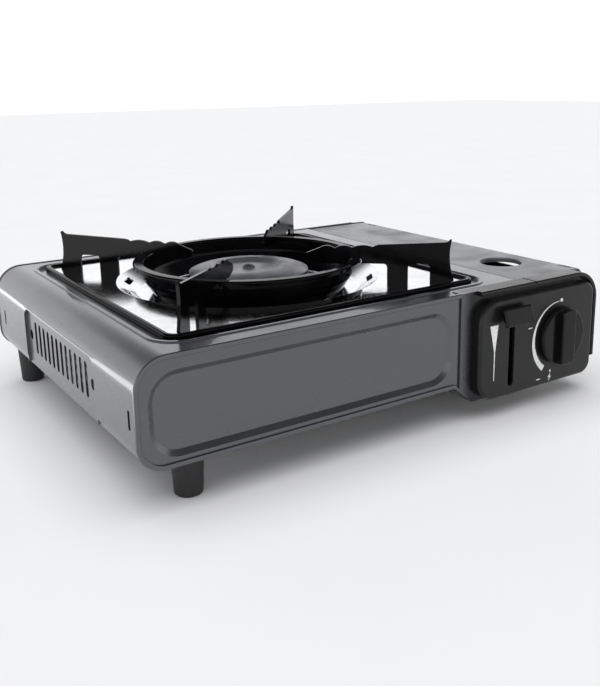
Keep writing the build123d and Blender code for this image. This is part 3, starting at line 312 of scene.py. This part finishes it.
finishes = {
    "body_paint": metallic_paint(
        "body_paint", (0.098, 0.101, 0.110), (0.112, 0.116, 0.126), 0.24, 0.3, 0.85, 0.5, 0.05
    ),
    "surround_paint_painted_reflection": surround_paint_with_painted_reflection(),
    "cover_paint": mottled_cover_paint(),
    "black_plastic": moulded_plastic(
        "black_plastic", (0.008, 0.008, 0.008), 0.24, 0.36, 1500.0, 0.1, 0.3
    ),
    "knob_plastic": moulded_plastic(
        "knob_plastic", (0.004, 0.004, 0.0045), 0.12, 0.24, 700.0, 0.04, 0.2
    ),
    "foot_rubber": rubber("foot_rubber", (0.012, 0.012, 0.013)),
    "seal_rubber": rubber("seal_rubber", (0.015, 0.015, 0.015)),
    "zinc_steel": plain_metal(
        "zinc_steel", (0.17, 0.175, 0.185), (0.30, 0.305, 0.32), 0.34, 0.5, 500.0, 0.08
    ),
    "tray_steel": polished_tray(),
    "black_enamel": vitreous_enamel(),
    "cast_aluminium": plain_metal(
        "cast_aluminium", (0.40, 0.40, 0.41), (0.62, 0.62, 0.63), 0.38, 0.55, 800.0, 0.3
    ),
    "brass": plain_metal("brass", (0.48, 0.32, 0.10), (0.75, 0.55, 0.22), 0.18, 0.3, 900.0, 0.05),
    "copper": plain_metal("copper", (0.48, 0.20, 0.10), (0.80, 0.42, 0.26), 0.2, 0.32, 700.0, 0.05),
    "igniter_plastic": moulded_plastic(
        "igniter_plastic", (0.62, 0.60, 0.54), 0.4, 0.55, 900.0, 0.1
    ),
    "lead_jacket": moulded_plastic("lead_jacket", (0.42, 0.03, 0.02), 0.35, 0.5, 900.0, 0.1),
    "ceramic": moulded_plastic("ceramic", (0.78, 0.76, 0.70), 0.12, 0.25, 400.0, 0.05),
    "print_white": printed_ink(),
}
finish_of_node = {
    row["node"]: row["material_slot"] for row in frame["record"]["subparts"]
}
# the surround takes the paint whose grey turns into a painted dark reflection towards the fascia
finish_of_node["control_surround"] = "surround_paint_painted_reflection"


# ---------------------------------------------------------------- carried-over CAD nodes
def dress(node_name):
    """Give a CAD node its finish, and soften its edges with bevel and smooth shading."""
    piece = nodes[node_name]
    piece.data.materials.clear()
    piece.data.materials.append(finishes[finish_of_node[node_name]])
    for polygon in piece.data.polygons:
        polygon.use_smooth = True
    weld = piece.modifiers.new("weld", "WELD")
    weld.merge_threshold = SAME_POINT
    bevel = piece.modifiers.new("bevel", "BEVEL")
    bevel.width = EDGE_BEVEL
    bevel.segments = 2
    bevel.limit_method = "ANGLE"
    bevel.angle_limit = EDGE_ANGLE
    bevel.use_clamp_overlap = True
    bevel.harden_normals = True
    normals = piece.modifiers.new("normals", "WEIGHTED_NORMAL")
    normals.keep_sharp = True


for name in nodes:
    dress(name)


# ---------------------------------------------------------------- printed marks on the fascia
FASCIA_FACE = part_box("control_fascia")[0].y
KNOB_LOW, KNOB_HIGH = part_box("knob")
KNOB_X = (KNOB_LOW.x + KNOB_HIGH.x) / 2
KNOB_Z = (KNOB_LOW.z + KNOB_HIGH.z) / 2
HANDLE_LOW, HANDLE_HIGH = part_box("lever_handle")
LEVER_X = (HANDLE_LOW.x + HANDLE_HIGH.x) / 2
INK_PROUD = 0.06 * MM
INK_BEHIND = 0.1 * MM


def printed(name, outline):
    """Thin raised ink shape on the fascia from an outline of (x, z) points in metres."""
    mesh = bpy.data.meshes.new(name)
    shape = bmesh.new()
    front = [shape.verts.new((x, FASCIA_FACE - INK_PROUD, z)) for x, z in outline]
    face = shape.faces.new(front)
    grown = bmesh.ops.extrude_face_region(shape, geom=[face])
    moved = [item for item in grown["geom"] if isinstance(item, bmesh.types.BMVert)]
    bmesh.ops.translate(shape, verts=moved, vec=(0, INK_PROUD + INK_BEHIND, 0))
    bmesh.ops.recalc_face_normals(shape, faces=shape.faces)
    shape.to_mesh(mesh)
    shape.free()
    mesh.materials.append(finishes["print_white"])
    piece = bpy.data.objects.new(name, mesh)
    bpy.context.scene.collection.objects.link(piece)
    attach(piece, "stove")


def arc_points(radius, start, end, count, centre=(KNOB_X, KNOB_Z)):
    """Points on an arc about a centre, angles in degrees anticlockwise from +X."""
    points = []
    for step in range(count + 1):
        turn = math.radians(start + (end - start) * step / count)
        points.append((centre[0] + radius * math.cos(turn), centre[1] + radius * math.sin(turn)))
    return points


def dot(x, z, radius):
    """Round spot."""
    return arc_points(radius, 0, 360, 24, (x, z))[:-1]


def swoosh():
    """Power scale that widens anticlockwise from the off mark towards full flame."""
    start, end, steps = 92.0, 236.0, 48
    near = 23.6 * MM
    least_width, added_width, growth = 0.4 * MM, 3.6 * MM, 1.3
    inner, outer = [], []
    for step in range(steps + 1):
        share = step / steps
        turn = math.radians(start + (end - start) * share)
        far = near + least_width + added_width * share ** growth
        inner.append((KNOB_X + near * math.cos(turn), KNOB_Z + near * math.sin(turn)))
        outer.append((KNOB_X + far * math.cos(turn), KNOB_Z + far * math.sin(turn)))
    return inner + outer[::-1]


def bolt(x, z, size):
    """Spark symbol."""
    shape = [(0.15, 0.5), (-0.28, -0.05), (-0.02, -0.05), (-0.15, -0.5), (0.28, 0.08), (0.02, 0.08)]
    return [(x + px * size, z + pz * size) for px, pz in shape]


def bar(x, z, length, height):
    """Short level tick."""
    return [
        (x - length / 2, z - height / 2), (x + length / 2, z - height / 2),
        (x + length / 2, z + height / 2), (x - length / 2, z + height / 2),
    ]


printed("print_power_scale", swoosh())
printed("print_off_dot", dot(KNOB_X + 1.2 * MM, KNOB_Z + 24.2 * MM, 1.3 * MM))
printed("print_ignition_dot", dot(KNOB_X - 7.2 * MM, KNOB_Z - 24.4 * MM, 0.8 * MM))
printed("print_spark", bolt(KNOB_X - 7.6 * MM, KNOB_Z - 28.6 * MM, 6.0 * MM))
printed("print_low_tick", bar(KNOB_X - 28.4 * MM, KNOB_Z + 9.4 * MM, 3.6 * MM, 0.7 * MM))
printed("print_high_tick", bar(KNOB_X - 18.6 * MM, KNOB_Z - 28.4 * MM, 3.6 * MM, 0.7 * MM))
printed(
    "print_lock_wedge",
    [
        (LEVER_X - 20.0 * MM, 64.0 * MM), (LEVER_X - 12.8 * MM, 64.0 * MM),
        (LEVER_X - 15.1 * MM, 46.0 * MM), (LEVER_X - 15.2 * MM, 26.7 * MM),
        (LEVER_X - 15.8 * MM, 26.7 * MM), (LEVER_X - 15.9 * MM, 46.0 * MM),
    ],
)


# ---------------------------------------------------------------- floor, light and camera
def make_floor():
    """Plain pale floor just under the feet."""
    far = FLOOR_HALF_SIZE
    mesh = bpy.data.meshes.new("floor")
    mesh.from_pydata(
        [(-far, -far, 0), (far, -far, 0), (far, far, 0), (-far, far, 0)], [], [(0, 1, 2, 3)]
    )
    paint = Paint("floor")
    speck = paint.noise(9.0, detail=4.0)
    colour = paint.mix(
        paint.remap(speck, 0.3, 0.7, 0.0, 1.0), (0.94, 0.94, 0.94), (0.92, 0.92, 0.92)
    )
    mesh.materials.append(paint.finish(colour, paint.remap(speck, 0.3, 0.7, 0.75, 0.85)))
    floor = bpy.data.objects.new("floor", mesh)
    bpy.context.scene.collection.objects.link(floor)
    floor.location.z = -FLOOR_DROP


def make_world():
    """White studio sweep round the horizon with a dark ceiling."""
    world = bpy.data.worlds.new("studio")
    bpy.context.scene.world = world
    world.use_nodes = True
    tree = world.node_tree
    background = tree.nodes["Background"]
    direction = tree.nodes.new("ShaderNodeTexCoord").outputs["Generated"]
    split = tree.nodes.new("ShaderNodeSeparateXYZ")
    tree.links.new(direction, split.inputs[0])
    height = tree.nodes.new("ShaderNodeMapRange")
    height.interpolation_type = "SMOOTHSTEP"
    height.inputs["From Min"].default_value = CEILING_STARTS
    height.inputs["From Max"].default_value = CEILING_FULL
    tree.links.new(split.outputs["Z"], height.inputs["Value"])
    ramp = tree.nodes.new("ShaderNodeMix")
    ramp.data_type = "RGBA"
    ramp.inputs[6].default_value = SWEEP_COLOUR
    ramp.inputs[7].default_value = CEILING_COLOUR
    tree.links.new(height.outputs["Result"], ramp.inputs["Factor"])
    tree.links.new(ramp.outputs[2], background.inputs["Color"])
    background.inputs["Strength"].default_value = 1.0


def soft_light(name, place, target, size, power):
    """Softbox that shows as a soft reflection, but is not seen itself."""
    data = bpy.data.lights.new(name, "AREA")
    data.shape = "RECTANGLE"
    data.size, data.size_y = size
    data.energy = power
    light = bpy.data.objects.new(name, data)
    bpy.context.scene.collection.objects.link(light)
    light.location = place
    light.visible_camera = False
    light.rotation_euler = (Vector(target) - Vector(place)).to_track_quat("-Z", "Y").to_euler()


def fill_from_above(strength):
    """Very soft light from overhead that brightens the floor and leaves no reflection."""
    data = bpy.data.lights.new("fill", "SUN")
    data.angle = math.radians(80)
    data.energy = strength
    light = bpy.data.objects.new("fill", data)
    light.visible_glossy = False
    bpy.context.scene.collection.objects.link(light)
    light.rotation_euler = (math.radians(6), math.radians(-8), 0)


def make_camera():
    """Camera to the left of the front and a little above."""
    azimuth, down, roll = math.radians(-33.83), math.radians(13.45), math.radians(-0.82)
    forward = Vector(
        (-math.sin(azimuth) * math.cos(down), math.cos(azimuth) * math.cos(down), -math.sin(down))
    )
    side = Vector((math.cos(azimuth), math.sin(azimuth), 0))
    up = side.cross(forward)
    right = side * math.cos(roll) + up * math.sin(roll)
    top = up * math.cos(roll) - side * math.sin(roll)
    data = bpy.data.cameras.new("camera")
    data.lens = 44.39
    data.sensor_width = 36.0
    data.shift_x = -0.0277
    data.shift_y = -0.0886
    data.clip_start = 0.01
    camera = bpy.data.objects.new("camera", data)
    bpy.context.scene.collection.objects.link(camera)
    turn = Matrix((right, top, -forward)).transposed().to_4x4()
    camera.matrix_world = Matrix.Translation((-0.3119, -0.49944, 0.21796)) @ turn
    bpy.context.scene.camera = camera


make_floor()
make_world()
fill_from_above(2.3)
soft_light("left_card", (-0.64, 0.30, 0.002), (-0.64, 0.30, 1.0), (0.7, 1.3), 8.5)
make_camera()
bpy.context.scene.view_settings.view_transform = "Standard"
